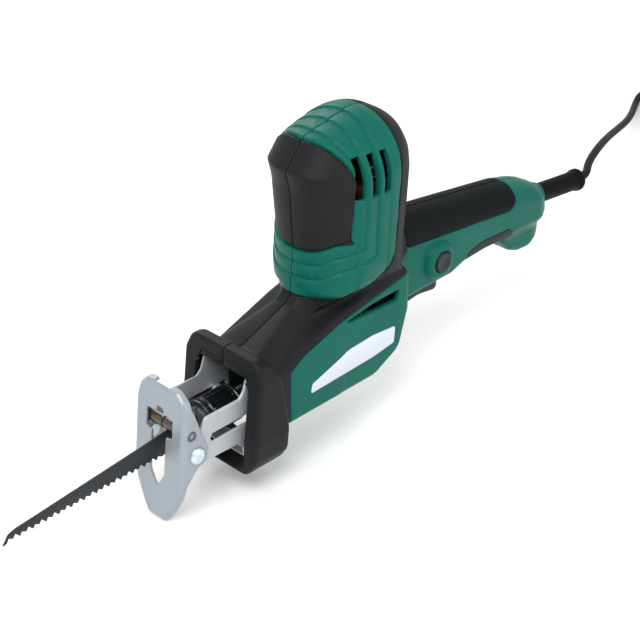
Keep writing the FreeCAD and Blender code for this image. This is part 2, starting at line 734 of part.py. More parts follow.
def make_controls():
    along, height = BUTTON_PLACE
    half = "2 * trigger_half_width"
    outline = [(84, 66.8), (88, 64.6), (103, 66.2), (118, 63.8), (122, 65.5), (122.3, 84), (84, 84)]
    finish(padded_body("trigger", "YZ_Plane", [outline], half), "trigger")
    spring = ring("trigger_coil", "3", "2.4", "6.9", Vector(0, 103, 84.05))
    finish(spring, "trigger_spring")
    finish(box("switch", (24, 36, 25), Vector(-12, 84, 91)), "switch_body")
    cap = cylinder("cap", "button_radius", "5.5", Vector(20.3, along, height), X_AXIS)
    stem = cylinder("stem", "3", "5", Vector(15.5, along, height), X_AXIS)
    finish(fuse("button", cap, stem), "lock_button")
    coil = ring("lock_coil", "5", "3.4", "3.4", Vector(12.1, along, height), X_AXIS)
    finish(coil, "lock_spring")
    finish(box("capacitor_box", (18, 25, 12), Vector(-9, 153, 98)), "capacitor")
    clamp = box("cable_clamp_bar", (18, 8, 5), Vector(-9, 212, 96))
    finish(clamp, "cable_clamp")


def make_cable_sleeve():
    """Strain relief: a slim sleeve with a rim at its free end."""
    axis = sleeve_axis()
    length = 58.0
    rim = 5.0
    tube = Part.makeCylinder(7.5, length, SLEEVE_BASE, axis)
    end = Part.makeCylinder(8.8, rim, SLEEVE_BASE + axis * (length - rim), axis)
    finish(feature("cable_sleeve", tube.fuse(end).removeSplitter()), "cable_sleeve")
    return SLEEVE_BASE + axis * length


# hand-chosen points of the free cord after its straight start, in millimetres
CORD_ROUTE = [
    (-16, 327, 81), (-36, 369, 73.5), (-62, 421, 57.5), (-85, 469, 41.5), (-109, 521, 25.5),
    (-133, 566, 12.5), (-152, 599, 5), (-164, 624, 3.2), (-163, 646, 3.2), (-154, 664, 3.2),
]
COIL_CENTRE = (-118, 672)
LEAD_ROUTE = [(-77, 664, 9.5), (-75, 641, 11), (-69, 620, 14), (-62, 603, 16.5)]
START_RUN = 12.0


def tube_path(points):
    """Straight runs joined by tangent arcs, each as large as its two runs allow."""
    edges = []
    start = points[0]
    for number in range(1, len(points) - 1):
        corner = points[number]
        before = corner - points[number - 1]
        after = points[number + 1] - corner
        turn = before.getAngle(after)
        setback = 0.45 * min(before.Length, after.Length)
        radius = setback / math.tan(turn / 2)
        print(f"cord point {number}: turn {math.degrees(turn):.0f} deg, radius {radius:.0f} mm")
        before.normalize()
        after.normalize()
        first = corner - before * setback
        last = corner + after * setback
        inward = after - before
        inward.normalize()
        centre = corner + inward * (radius / math.cos(turn / 2))
        towards = corner - centre
        towards.normalize()
        middle = centre + towards * radius
        edges.append(Part.LineSegment(start, first).toShape())
        edges.append(Part.Arc(first, middle, last).toShape())
        start = last
    edges.append(Part.LineSegment(start, points[-1]).toShape())
    return Part.Wire(edges)


def cord_tube(points):
    """A round tube along a path, with its volume compared with section times length."""
    radius = dim("cord_diameter") / 2
    path = tube_path(points)
    direction = points[1] - points[0]
    profile = Part.Wire(Part.makeCircle(radius, points[0], direction))
    solid = path.makePipeShell([profile], True, False)
    expected = math.pi * radius ** 2 * path.Length
    print(f"cord length {path.Length:.0f} mm, volume ratio {solid.Volume / expected:.4f}")
    return solid


def make_cord(exit_point):
    first = exit_point + sleeve_axis() * START_RUN
    points = [exit_point, first] + [Vector(*place) for place in CORD_ROUTE]
    lead = [Vector(*place) for place in LEAD_ROUTE]
    stretches = Part.makeCompound([cord_tube(points), cord_tube(lead)])
    finish(feature("cord", stretches), "cord_tube")
    inner = dim("coil_radius") - dim("coil_width") / 2
    outer = dim("coil_radius") + dim("coil_width") / 2
    base = Vector(*COIL_CENTRE, 0)
    coil = ring("coil", "coil_radius + coil_width / 2", "coil_radius - coil_width / 2", "coil_height", base)
    finish(coil, "cord_coil")
    band = 1.2
    near = inner - 0.5
    across = Part.makeBox(outer - near + 2 * band, 9, dim("coil_height") + 2 * band, Vector(near - band, -4.5, -band))
    inside = Part.makeBox(outer - near, 9, dim("coil_height"), Vector(near, -4.5, 0))
    tie = across.cut(inside)
    tie = tie.common(Part.makeBox(FAR, FAR, FAR, Vector(-FAR / 2, -FAR / 2, 0)))
    tie.Placement = Placement(base, Rotation(Z_AXIS, 125))
    finish(feature("coil_tie", tie), "coil_tie")
    make_plug(lead[-1], lead[-1] - lead[-2])


def make_plug(start, direction):
    """Two-pin plug: a flat-sided body on the end of the lead, with two round pins."""
    flat = Vector(direction.x, direction.y, 0)
    flat.normalize()
    turn = Rotation(X_AXIS, flat)
    frame = Placement(start, turn)
    outline = [Vector(0, 5, 0), Vector(16, 8, 0), Vector(24, 17.5, 0), Vector(42, 18.5, 0)]
    outline += [Vector(point.x, -point.y, 0) for point in reversed(outline)]
    face = Part.Face(Part.makePolygon(outline + outline[:1]))
    half_height = 13.0
    face.translate(Vector(0, 0, -half_height))
    body = face.extrude(Vector(0, 0, 2 * half_height))
    body = body.fuse(Part.makeCylinder(16.4, 6, Vector(42, 0, 0), X_AXIS))
    body.Placement = frame
    finish(feature("plug_body", body), "plug_body")
    pins = []
    for side in (9.5, -9.5):
        pin = Part.makeCylinder(2.4, 19, Vector(48, side, 0), X_AXIS)
        pin.Placement = frame.multiply(pin.Placement)
        pins.append(pin)
    finish(feature("plug_pins", Part.makeCompound(pins)), "plug_pins")


make_shells()
make_labels()
make_screws()
make_motor()
make_gears()
make_plunger()
make_clamp()
make_blade()
make_shoe()
make_bracket()
make_controls()
make_cord(make_cable_sleeve())
doc.recompute()

for obj in doc.Objects:
    if "Invalid" in obj.State or "Error" in obj.State:
        raise RuntimeError(f"{obj.Name} failed: {obj.State}")
for obj in finished:
    if obj.Shape.isNull() or not obj.Shape.isValid() or not obj.Shape.Solids:
        raise RuntimeError(f"{obj.Label} has no valid solid")

os.makedirs("parts", exist_ok=True)
for obj in finished:
    obj.Shape.exportStep(f"parts/{obj.Label}.step")
    print(f"{obj.Label}: {len(obj.Shape.Solids)} solid(s), {obj.Shape.Volume / 1000:.1f} cm3")
print(f"{len(finished)} sub-parts written")
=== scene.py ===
import json
import math

import bpy
import numpy as np
from mathutils import Matrix, Vector


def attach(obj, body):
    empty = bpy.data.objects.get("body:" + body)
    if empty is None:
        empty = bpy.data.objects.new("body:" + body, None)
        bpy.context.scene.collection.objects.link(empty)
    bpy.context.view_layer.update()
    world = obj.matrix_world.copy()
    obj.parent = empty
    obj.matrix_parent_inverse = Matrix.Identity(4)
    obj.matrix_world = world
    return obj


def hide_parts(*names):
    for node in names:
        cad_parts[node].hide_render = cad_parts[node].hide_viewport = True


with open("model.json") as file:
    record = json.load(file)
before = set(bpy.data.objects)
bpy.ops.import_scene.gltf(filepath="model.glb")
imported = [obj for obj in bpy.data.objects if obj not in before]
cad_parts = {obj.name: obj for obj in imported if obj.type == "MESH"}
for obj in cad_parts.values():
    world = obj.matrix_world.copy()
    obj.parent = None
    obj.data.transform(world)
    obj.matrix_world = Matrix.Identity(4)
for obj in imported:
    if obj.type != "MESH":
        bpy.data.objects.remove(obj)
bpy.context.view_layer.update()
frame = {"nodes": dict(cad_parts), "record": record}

# Shapes are worked out in millimetres, in the CAD frame: X across, -Y along the blade, +Z up.
MM = 0.001
NODES = frame["nodes"]
SLOTS = {entry["node"]: entry["material_slot"] for entry in frame["record"]["subparts"]}


# ------------------------------------------------------------------ camera and cord

def make_camera():
    data = bpy.data.cameras.new("camera")
    data.sensor_width = 36.0
    data.lens = 90.96
    camera = bpy.data.objects.new("camera", data)
    camera.location = (0.6313, -0.6345, 0.6235)
    camera.rotation_euler = (math.radians(59.0), 0.0, math.radians(44.3))
    bpy.context.scene.collection.objects.link(camera)
    bpy.context.scene.camera = camera


CORD_DIAMETER = 6.3
SLEEVE_BASE = Vector((0, 233.0, 91.6))
SLEEVE_DROOP = math.radians(6.5)
SLEEVE_AXIS = Vector((0, math.cos(SLEEVE_DROOP), -math.sin(SLEEVE_DROOP)))
SLEEVE_LENGTH = 58.0
START_RUN = 12.0
# points of the free cord, given one by one, as in the CAD source
CORD_ROUTE = [
    (-16, 327, 81), (-36, 369, 73.5), (-62, 421, 57.5), (-85, 469, 41.5), (-109, 521, 25.5),
    (-133, 566, 12.5), (-152, 599, 5), (-164, 624, 3.2), (-163, 646, 3.2), (-154, 664, 3.2),
]
COIL_CENTRE = (-118, 672)
COIL_RADIUS = 35.0
LEAD_ROUTE = [(-77, 664, 9.5), (-75, 641, 11), (-69, 620, 14), (-62, 603, 16.5)]
# where each turn of the coil lies: out from the middle radius, and its height, in cord diameters
COIL_PLACES = [(0, 0.51), (-1, 0.51), (-1, 1.5), (0, 1.5), (-1, 2.45), (0, 2.45), (1, 2.45), (1, 1.5)]
POINTS_PER_TURN = 16


def coil_points():
    """Turns of the coil, clockwise from where the cord comes in to where the lead leaves."""
    middle = Vector((*COIL_CENTRE, 0))
    first = Vector(CORD_ROUTE[-1]) - middle
    last = Vector(LEAD_ROUTE[0]) - middle
    start = math.atan2(first.y, first.x)
    sweep = (start - math.atan2(last.y, last.x)) % (2 * math.pi) + 2 * math.pi * (len(COIL_PLACES) - 1)
    count = round(sweep / (2 * math.pi) * POINTS_PER_TURN)
    points = []
    for number in range(1, count):
        share = number / count
        place = share * (len(COIL_PLACES) - 1)
        step = min(int(place), len(COIL_PLACES) - 2)
        blend = min(max((place - step - 0.7) / 0.3, 0.0), 1.0)
        blend = blend * blend * (3 - 2 * blend)
        out_a, up_a = COIL_PLACES[step]
        out_b, up_b = COIL_PLACES[step + 1]
        out = (out_a + (out_b - out_a) * blend) * CORD_DIAMETER * 1.02
        height = (up_a + (up_b - up_a) * blend) * CORD_DIAMETER
        angle = start - sweep * share
        wobble = 0.5 * math.sin(3.1 * angle + step)
        radius = COIL_RADIUS + out + wobble
        points.append(middle + Vector((radius * math.cos(angle), radius * math.sin(angle), height)))
    return points


def make_cord_curve():
    """The whole free cord: out of the sleeve, along the floor, round its coil and into the plug."""
    exit_point = SLEEVE_BASE + SLEEVE_AXIS * SLEEVE_LENGTH
    points = [exit_point, exit_point + SLEEVE_AXIS * START_RUN]
    points += [Vector(place) for place in CORD_ROUTE]
    points += coil_points()
    points += [Vector(place) for place in LEAD_ROUTE]
    data = bpy.data.curves.new("mains_cord", "CURVE")
    data.dimensions = "3D"
    data.bevel_depth = 1.0
    data.bevel_resolution = 5
    data.resolution_u = 6
    spline = data.splines.new("NURBS")
    spline.points.add(len(points) - 1)
    for control, point in zip(spline.points, points):
        control.co = (*(point * MM), 1.0)
        control.radius = CORD_DIAMETER / 2 * MM
    spline.order_u = 3
    spline.use_endpoint_u = True
    cord = bpy.data.objects.new("mains_cord", data)
    bpy.context.scene.collection.objects.link(cord)
    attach(cord, "tool")
    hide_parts("cord_tube", "cord_coil")
    return cord, exit_point


make_camera()
cord, cord_exit = make_cord_curve()


# ------------------------------------------------------------------ solids from distance fields

def rounded(points, radius, steps=5):
    """A closed outline with its corners rounded, as far as their edges allow; a third value overrides."""
    result = []
    count = len(points)
    for number, point in enumerate(points):
        here = Vector(point[:2])
        wanted = point[2] if len(point) > 2 else radius
        before = Vector(points[number - 1][:2]) - here
        after = Vector(points[(number + 1) % count][:2]) - here
        half = before.angle(after) / 2
        cut = min(wanted / math.tan(half), 0.48 * before.length, 0.48 * after.length)
        if cut < 1e-3 or half > math.radians(89):
            result.append(tuple(here))
            continue
        start = here + before.normalized() * cut
        end = here + after.normalized() * cut
        for step in range(steps + 1):
            share = step / steps
            low = start.lerp(here, share)
            high = here.lerp(end, share)
            result.append(tuple(low.lerp(high, share)))
    return result


def polygon(across, along, points):
    """Signed distance in a plane from a closed outline, negative inside."""
    shape = np.broadcast(across, along).shape
    nearest = np.full(shape, 1e9, np.float32)
    inside = np.zeros(shape, bool)
    for (a0, b0), (a1, b1) in zip(points, points[1:] + points[:1]):
        da, db = a1 - a0, b1 - b0
        share = np.clip(((across - a0) * da + (along - b0) * db) / (da * da + db * db), 0, 1)
        gap = (across - a0 - share * da) ** 2 + (along - b0 - share * db) ** 2
        nearest = np.minimum(nearest, gap)
        slope = da / (db if abs(db) > 1e-9 else 1e-9)
        inside ^= ((b0 > along) != (b1 > along)) & (across < (along - b0) * slope + a0)
    return np.where(inside, -1.0, 1.0) * np.sqrt(nearest)


def both(first, second, radius=0.0):
    """What two solids share, with a rounded edge."""
    if np.ndim(radius) == 0 and not radius:
        return np.maximum(first, second)
    corner = np.hypot(np.maximum(first + radius, 0), np.maximum(second + radius, 0))
    return np.minimum(-radius, np.maximum(first, second)) + corner


def either(first, second, radius=0.0):
    """Two solids joined, with a hollow fillet."""
    if not radius:
        return np.minimum(first, second)
    corner = np.hypot(np.maximum(radius - first, 0), np.maximum(radius - second, 0))
    return np.maximum(radius, np.minimum(first, second)) - corner


def without(first, second, radius=0.0):
    return both(first, -second, radius)


def ramp(value, width):
    """0 below, 1 above, with a smooth rise of the given width about zero."""
    share = np.clip(value / width + 0.5, 0, 1)
    return share * share * (3 - 2 * share)


def slab(value, low, high):
    """Distance from the layer between two levels."""
    return np.maximum(low - value, value - high)


def net(values, low, step):
    """Vertices and quads of the zero surface of a sampled field, one vertex in each crossed cell."""
    inside = values < 0
    shape = tuple(size - 1 for size in values.shape)
    total = np.zeros(shape, np.int8)
    corners = [(i, j, k) for i in (0, 1) for j in (0, 1) for k in (0, 1)]
    for i, j, k in corners:
        total += inside[i:i + shape[0], j:j + shape[1], k:k + shape[2]]
    cells = np.argwhere((total > 0) & (total < 8))
    index = np.full(shape, -1, np.int64)
    index[tuple(cells.T)] = np.arange(len(cells))
    places = np.zeros((len(cells), 3))
    hits = np.zeros(len(cells))
    for corner in corners:
        for axis in range(3):
            if corner[axis]:
                continue
            other = list(corner)
            other[axis] = 1
            first = values[tuple((cells + corner).T)]
            second = values[tuple((cells + other).T)]
            crossed = (first < 0) != (second < 0)
            share = np.where(crossed, first / np.where(crossed, first - second, 1), 0)
            spot = np.tile(np.array(corner, float), (len(cells), 1))
            spot[:, axis] = share
            places += spot * crossed[:, None]
            hits += crossed
    places = (places / hits[:, None] + cells) * step + np.array(low)
    quads = []
    for axis in range(3):
        side, up = [other for other in range(3) if other != axis]
        before = np.moveaxis(inside, (axis, side, up), (0, 1, 2))
        ids = np.moveaxis(index, (axis, side, up), (0, 1, 2))
        first = before[:-1, 1:-1, 1:-1]
        second = before[1:, 1:-1, 1:-1]
        along, i, j = np.nonzero(first != second)
        ring = np.stack([ids[along, i, j], ids[along, i + 1, j],
                         ids[along, i + 1, j + 1], ids[along, i, j + 1]], 1)
        flip = first[along, i, j] if axis != 1 else ~first[along, i, j]
        ring[~flip] = ring[~flip][:, ::-1]
        quads.append(ring)
    return places, np.concatenate(quads)


def object_from(name, places, quads):
    """A smooth-shaded mesh object from points in millimetres and faces."""
    mesh = bpy.data.meshes.new(name)
    mesh.vertices.add(len(places))
    mesh.vertices.foreach_set("co", (np.asarray(places) * MM).astype(np.float32).ravel())
    mesh.loops.add(quads.size)
    mesh.loops.foreach_set("vertex_index", quads.astype(np.int32).ravel())
    mesh.polygons.add(len(quads))
    mesh.polygons.foreach_set("loop_start", np.arange(0, quads.size, quads.shape[1], dtype=np.int32))
    mesh.update(calc_edges=True)
    mesh.shade_smooth()
    obj = bpy.data.objects.new(name, mesh)
    bpy.context.scene.collection.objects.link(obj)
    return obj


def apply_modifier(obj, kind, **settings):
    """Add a modifier and make its result the object's mesh."""
    modifier = obj.modifiers.new("change", kind)
    for key, value in settings.items():
        setattr(modifier, key, value)
    graph = bpy.context.evaluated_depsgraph_get()
    mesh = bpy.data.meshes.new_from_object(obj.evaluated_get(graph))
    obj.modifiers.clear()
    obj.data = mesh


def solid(name, field, low, high, step, keep=1.0):
    """A closed mesh of the solid where field(x, y, z) is negative, inside the given box."""
    axes = [np.arange(a - 2 * step, b + 3 * step, step, dtype=np.float32) for a, b in zip(low, high)]
    x, y, z = axes[0][:, None, None], axes[1][None, :, None], axes[2][None, None, :]
    values = np.broadcast_to(field(x, y, z), [len(axis) for axis in axes]).astype(np.float32)
    values = np.where(np.abs(values) < 1e-5, np.float32(1e-5), values)
    places, quads = net(values, [axis[0] for axis in axes], step)
    obj = object_from(name, places, quads)
    if keep < 1.0:
        apply_modifier(obj, "DECIMATE", ratio=keep)
        obj.data.shade_smooth()
    return obj


def place(obj, body, slot, *replaced):
    """Put a finished piece on its body, with its material slot and the CAD nodes it stands for."""
    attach(obj, body)
    if replaced:
        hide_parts(*replaced)
    obj.data.materials.clear()
    obj.data.materials.append(MATERIALS[slot])
    return obj


def mirrored(obj, name):
    """The same mesh on the other side of the middle plane."""
    mesh = obj.data.copy()
    mesh.transform(Matrix.Scale(-1, 4, (1, 0, 0)))
    mesh.flip_normals()
    twin = bpy.data.objects.new(name, mesh)
    bpy.context.scene.collection.objects.link(twin)
    return twin


def lathe(name, profile, base, axis, segments=64):
    """A turned piece: (distance along the axis, radius) pairs, in millimetres, closed at both ends."""
    angles = np.linspace(0, 2 * np.pi, segments, endpoint=False)
    turn = Vector((0, 0, 1)).rotation_difference(Vector(axis)).to_matrix()
    rows = []
    for along, radius in profile:
        reach = max(radius, 0.01)
        row = np.stack([reach * np.cos(angles), reach * np.sin(angles), np.full(segments, along)], 1)
        rows.append(row)
    places = np.concatenate(rows) @ np.array(turn).T + np.array(base)
    quads = []
    for row in range(len(profile) - 1):
        for number in range(segments):
            following = (number + 1) % segments
            quads.append((row * segments + number, row * segments + following,
                          (row + 1) * segments + following, (row + 1) * segments + number))
    mesh = bpy.data.meshes.new(name)
    last = (len(profile) - 1) * segments
    caps = [tuple(reversed(range(segments))), tuple(range(last, last + segments))]
    mesh.from_pydata([tuple(place * MM) for place in places], [], quads + caps)
    mesh.shade_smooth()
    mesh.update()
    obj = bpy.data.objects.new(name, mesh)
    bpy.context.scene.collection.objects.link(obj)
    edges = obj.modifiers.new("edges", "EDGE_SPLIT")
    edges.split_angle = math.radians(50)
    return obj


# ------------------------------------------------------------------ materials

def linear(red, green, blue):
    """A colour given in screen values of 0 to 255, as the linear values that shaders use."""
    values = []
    for part in (red, green, blue):
        share = part / 255
        values.append(share / 12.92 if share <= 0.04045 else ((share + 0.055) / 1.055) ** 2.4)
    return (*values, 1.0)


def surface(name, colour, roughness, metal=0.0, grain=0.0, grain_size=0.5, mottle=0.08,
            mottle_size=30.0, coat=0.0, stretch=(1, 1, 1), sheen=0.0, worn=None, gloss=0.5):
    """A procedural finish: mottled colour and roughness, a fine grain in the bump, and worn edges."""
    material = bpy.data.materials.new(name)
    material.use_nodes = True
    nodes = material.node_tree.nodes
    links = material.node_tree.links
    shader = nodes["Principled BSDF"]
    shader.inputs["Metallic"].default_value = metal
    shader.inputs["Coat Weight"].default_value = coat
    shader.inputs["Specular IOR Level"].default_value = gloss
    shader.inputs["Coat Roughness"].default_value = 0.2
    shader.inputs["Sheen Weight"].default_value = sheen
    shader.inputs["Sheen Roughness"].default_value = 0.6
    coordinates = nodes.new("ShaderNodeTexCoord")
    scaling = nodes.new("ShaderNodeMapping")
    scaling.inputs["Scale"].default_value = stretch
    links.new(coordinates.outputs["Object"], scaling.inputs["Vector"])

    cloud = nodes.new("ShaderNodeTexNoise")
    cloud.inputs["Scale"].default_value = 1000 / mottle_size
    cloud.inputs["Detail"].default_value = 4.0
    links.new(scaling.outputs["Vector"], cloud.inputs["Vector"])
    tint = nodes.new("ShaderNodeValToRGB")
    dark = [part * (1 - mottle) for part in colour[:3]]
    light = [min(part * (1 + mottle) + 0.002, 1.0) for part in colour[:3]]
    tint.color_ramp.elements[0].position = 0.3
    tint.color_ramp.elements[1].position = 0.7
    tint.color_ramp.elements[0].color = (*dark, 1)
    tint.color_ramp.elements[1].color = (*light, 1)
    links.new(cloud.outputs["Fac"], tint.inputs["Fac"])
    finish = tint.outputs["Color"]
    if worn:
        edge = nodes.new("ShaderNodeNewGeometry")
        sharp = nodes.new("ShaderNodeMapRange")
        sharp.inputs["From Min"].default_value = 0.52
        sharp.inputs["From Max"].default_value = 0.60
        links.new(edge.outputs["Pointiness"], sharp.inputs["Value"])
        blend = nodes.new("ShaderNodeMix")
        blend.data_type = "RGBA"
        links.new(sharp.outputs["Result"], blend.inputs["Factor"])
        links.new(finish, blend.inputs["A"])
        blend.inputs["B"].default_value = worn
        finish = blend.outputs["Result"]
    links.new(finish, shader.inputs["Base Color"])

    spread = nodes.new("ShaderNodeMapRange")
    spread.inputs["To Min"].default_value = max(roughness - 0.06, 0.02)
    spread.inputs["To Max"].default_value = min(roughness + 0.06, 1.0)
    links.new(cloud.outputs["Fac"], spread.inputs["Value"])
    links.new(spread.outputs["Result"], shader.inputs["Roughness"])
    if grain:
        fine = nodes.new("ShaderNodeTexNoise")
        fine.inputs["Scale"].default_value = 1000 / grain_size
        fine.inputs["Detail"].default_value = 2.0
        links.new(scaling.outputs["Vector"], fine.inputs["Vector"])
        bump = nodes.new("ShaderNodeBump")
        bump.inputs["Strength"].default_value = 1.0
        bump.inputs["Distance"].default_value = grain * MM
        links.new(fine.outputs["Fac"], bump.inputs["Height"])
        links.new(bump.outputs["Normal"], shader.inputs["Normal"])
    return material


def make_materials():
    steel = linear(150, 150, 152)
    return {
        "shell_green": surface("shell_green", linear(4, 90, 77), 0.38, grain=0.025, grain_size=0.6,
                               mottle=0.05, gloss=0.12),
        "rubber_black": surface("rubber_black", linear(24, 26, 28), 0.5, grain=0.03, grain_size=0.7,
                                gloss=0.12),
        "grip_black": surface("grip_black", linear(14, 18, 19), 0.62, grain=0.08, grain_size=1.1,
                              gloss=0.08),
        "strip_grey": surface("strip_grey", linear(46, 52, 55), 0.6, grain=0.03, grain_size=0.7, gloss=0.1),
        "label_silver": surface("label_silver", linear(205, 210, 217), 0.3, metal=0.25, mottle=0.03,
                                grain=0.004, grain_size=0.5, stretch=(1, 0.05, 1)),
        "steel": surface("steel", steel, 0.3, metal=1.0, grain=0.006, grain_size=0.4, stretch=(1, 1, 0.1)),
        "zinc": surface("zinc", linear(205, 220, 226), 0.32, metal=0.85, grain=0.01, mottle=0.1,
                        mottle_size=3),
        "laminations": surface("laminations", linear(40, 40, 42), 0.6, metal=0.6, grain=0.06,
                               grain_size=0.8, stretch=(0.02, 0.02, 1)),
        # dark brown copper: partly the windings' varnish, partly painted shade standing in for the dark
        # insides of the vent slots
        "copper": surface("copper", linear(70, 38, 22), 0.45, metal=0.7, grain=0.1, grain_size=1.2,
                          stretch=(1, 1, 0.2)),
        "brass": surface("brass", linear(190, 155, 90), 0.35, metal=1.0, grain=0.01),
        "nylon_black": surface("nylon_black", linear(22, 23, 24), 0.45, grain=0.02, gloss=0.4),
        "carbon": surface("carbon", linear(36, 36, 37), 0.7, grain=0.02, grain_size=0.2),
        "die_cast": surface("die_cast", linear(120, 122, 126), 0.5, metal=0.8, grain=0.05, grain_size=1.5),
        "clamp_black": surface("clamp_black", linear(20, 22, 23), 0.2, metal=0.4, grain=0.006,
                               worn=linear(120, 125, 128), coat=0.3),
        "blade_steel": surface("blade_steel", linear(40, 43, 47), 0.42, metal=0.35, grain=0.008,
                               grain_size=0.6, stretch=(1, 0.15, 1), mottle=0.14, mottle_size=12, gloss=0.3),
        "shoe_grey": surface("shoe_grey", linear(146, 154, 161), 0.4, metal=0.3, grain=0.012,
                             grain_size=0.5, mottle=0.04),
        "bracket_grey": surface("bracket_grey", linear(172, 175, 179), 0.4, metal=0.3, grain=0.012,
                                grain_size=0.5, mottle=0.04),
        "guide_bronze": surface("guide_bronze", linear(100, 92, 86), 0.32, metal=0.85, grain=0.01,
                                grain_size=0.4, mottle=0.25, mottle_size=4, stretch=(4, 1, 1)),
        "control_grey": surface("control_grey", linear(34, 42, 46), 0.42, grain=0.02, grain_size=0.5,
                                gloss=0.2),
        "capacitor_film": surface("capacitor_film", linear(205, 185, 60), 0.35, grain=0.01),
        "cord_rubber": surface("cord_rubber", linear(11, 11, 13), 0.5, grain=0.02, grain_size=0.6,
                               gloss=0.06),
        "tie_black": surface("tie_black", linear(18, 18, 19), 0.4, grain=0.01, gloss=0.35),
        "pin_nickel": surface("pin_nickel", linear(200, 198, 190), 0.22, metal=1.0, grain=0.004),
    }


MATERIALS = make_materials()


# ------------------------------------------------------------------ moulded form

BODY_HALF = 31.0
HANDLE_HALF = 19.0
# how deep the rubber skins are let in, the shell's own wall, the gap at a joint, the round of a skin's edge
SKIN = 2.6
WALL = 4.2
GAP = 0.15
EDGE = 0.6
# outlines seen from the side are (y, z) points, those seen from the front (x, z) points
BODY_SIDE = rounded([
    (-60, 40.6), (34, 40.6, 16), (58, 52, 14), (66.5, 80), (66.5, 112), (30, 108), (-5, 99), (-60, 80),
], 8)
NOSE_SIDE = rounded([
    (-74, 40.6), (4, 40.6), (4, 116), (-13, 113), (-20, 106.5), (-58, 92), (-74, 92),
], 6)
NOSE_FRONT = rounded([
    (25, 38), (30, 44), (30, 76, 12), (11, 104, 10), (5, 125), (-5, 125), (-11, 104, 10),
    (-30, 76, 12), (-30, 44), (-25, 38),
], 3)
TOWER_SIDE = rounded([
    (-10.5, 100), (-12, 150, 40), (-14, 184, 30), (-17.8, 198, 3), (-3.5, 215.3, 5), (6, 216, 15),
    (22, 218, 30), (38, 220, 30), (50, 218.5, 25), (61, 211.5, 20), (68, 199.5, 20), (70, 186, 20),
    (69, 160, 30),
    (68, 140, 30), (68, 100),
], 5)
TOWER_HEIGHTS = [100, 113, 140, 165, 190, 204, 240]
TOWER_HALVES = [33, 33.2, 33.8, 34.7, 35.4, 35.4, 35.4]
TOWER_ROUND = 32.0
HANDLE_SIDE = rounded([
    (40, 76), (84, 76), (124, 76.5, 6), (138, 80.5, 12), (160, 81.5, 30), (186, 80.5, 6), (191, 71, 8),
    (197, 64, 8), (206, 60, 8), (218, 59, 8), (230, 63, 8), (237, 74, 8), (238.5, 86, 6), (238, 95, 10),
    (230, 106, 12), (212, 113.5, 14), (193, 118.5, 30), (89, 134, 20), (40, 140),
], 5)
TOWER_BOW = 36.0
BAND_STEP = 1.0
BAND_LIMIT = 4.0
GROOVE = 0.7
# each band edge on the tower: its place along Y at the sides and at the ridge, and its lowest height
BAND_EDGES = [(12, -2.8, 143), (12.5, 6, 0), (17, 19, 133.5), (26.5, 32, 124.0), (36, 39, 0)]
HOOD_SIDE = rounded([
    (-40, 114), (-8, 112), (8, 113), (24, 116), (37, 124), (43, 134), (45, 190), (47, 240), (-40, 240),
], 8)
SKIN_SIDE = rounded([
    (-90, 20), (-46.5, 20), (-45.3, 79, 7), (-32.7, 86, 20), (-1, 96, 40), (32, 102), (50, 105), (66, 108),
    (75, 113), (75, 240), (-90, 240),
], 4)
GRIP_SIDE = rounded([(75, 116), (186, 103.5, 5), (193, 109, 5), (195, 118, 6), (198, 150), (75, 150)], 5)
STRIP_SIDE = rounded([(134, 70), (140, 87.5), (154, 90.5), (186, 89), (189, 84), (186, 70)], 3)
VENT_SIDE = rounded([(0, 93.8), (28, 97.8), (55, 98.4), (53.5, 90.8), (28, 91.8)], 1.2)
BUTTON_PLACE = (106.5, 95.6)
SLEEVE_BOSS_RADIUS = 9.5
SLEEVE_BOSS_END = 6.0
SLEEVE_HOLE_RADIUS = 7.6
TRIGGER_HALF = 7
TRIGGER_SLOT_HALF = 7.4
OPENING_HALF = 23.5
RECESS_RADIUS = 7.7
RECESS_FLOOR = 5.0
SLOT_STARTS = (10.0, 20.0, 29.5)
SLOT_WIDTH = 6.0
SLOT_HEIGHTS = (179.5, 206)
SCREW_PLACES = [(-43, 80), (54, 62), (58, 98), (81, 126), (146, 108), (206, 84)]
SCREW_DEPTH_BODY = 20.5
SCREW_DEPTH_HANDLE = 11.5


def band_edge(x, y, z, ends, rise):
    """Distance from the part of the tower in front of a bowed band edge and above its lower end."""
    at_side, at_ridge, low = ends
    bow = 1 - np.clip(x / TOWER_BOW, -1, 1) ** 2
    return np.maximum(y - (at_side + (at_ridge - at_side) * bow), low + rise - z)


def pad_rise(y):
    """How far the lower end of a band edge rises from the tower's front backwards."""
    return 7 * ramp(y + 5, 14)


def tower(x, y, z):
    """The motor tower, stepping outwards band by band away from its front pad."""
    side = polygon(y, z, TOWER_SIDE)
    half = np.interp(z, TOWER_HEIGHTS, TOWER_HALVES)
    base = both(side, np.abs(x) - half, TOWER_ROUND)
    rise = pad_rise(y) + 10 * np.clip((y - 2) / 45, 0, 1)
    height = 0
    for ends in BAND_EDGES:
        edge = band_edge(x, y, z, ends, rise)
        height = height + BAND_STEP * ramp(edge, 0.5)
        height = height - GROOVE * (1 - ramp(np.abs(edge + 0.8) - 0.5, 0.5))
    return base - np.minimum(height, BAND_LIMIT) * ramp(z - 113, 8)


def on_sleeve(y, z):
    """How far along the cable sleeve's axis a place is, and how far above it."""
    along = (y - SLEEVE_BASE.y) * SLEEVE_AXIS.y + (z - SLEEVE_BASE.z) * SLEEVE_AXIS.z
    lift = (z - SLEEVE_BASE.z) * SLEEVE_AXIS.y - (y - SLEEVE_BASE.y) * SLEEVE_AXIS.z
    return along, lift


